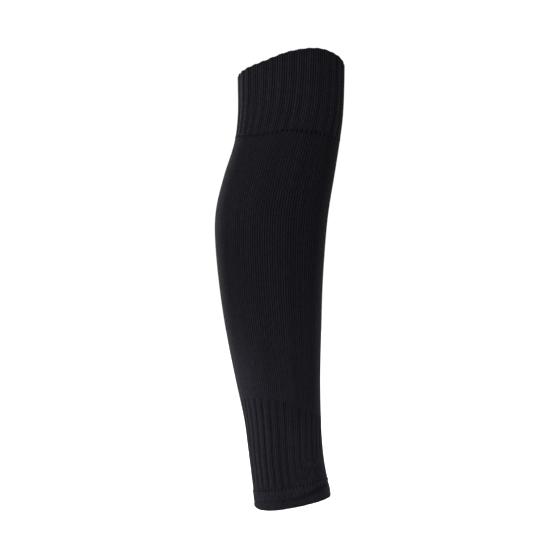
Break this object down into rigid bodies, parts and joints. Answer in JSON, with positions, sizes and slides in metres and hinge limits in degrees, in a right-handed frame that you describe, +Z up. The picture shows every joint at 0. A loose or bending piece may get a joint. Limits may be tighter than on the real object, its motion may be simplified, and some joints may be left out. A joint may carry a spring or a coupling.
{
  "type": "footless football sock",
  "caption": "Knitted footless football sock: an open sleeve for the lower leg with a ribbed top band, a plain leg, an ankle rib and a turned hem.",
  "frame": {"origin": "middle of the leg hollow, level with the seam under the top band, where the leg holds the sleeve up", "axes": "+Z up the leg towards the knee, +X forward over the shin, +Y across the leg; the XZ plane is the plane of symmetry"},
  "size_m": [0.1207, 0.0988, 0.4196],
  "materials": {
    "band_knit": "black two-by-two rib knit, folded double, matte",
    "leg_knit": "black plain knit, matte with a faint sheen",
    "rib_knit": "black three-by-one rib knit, matte",
    "hem_knit": "black turned plain knit, matte"
  },
  "bodies": {
    "root": {"top_band": "band_knit", "leg_tube": "leg_knit", "ankle_rib": "rib_knit", "hem": "hem_knit"}
  },
  "joints": []
}
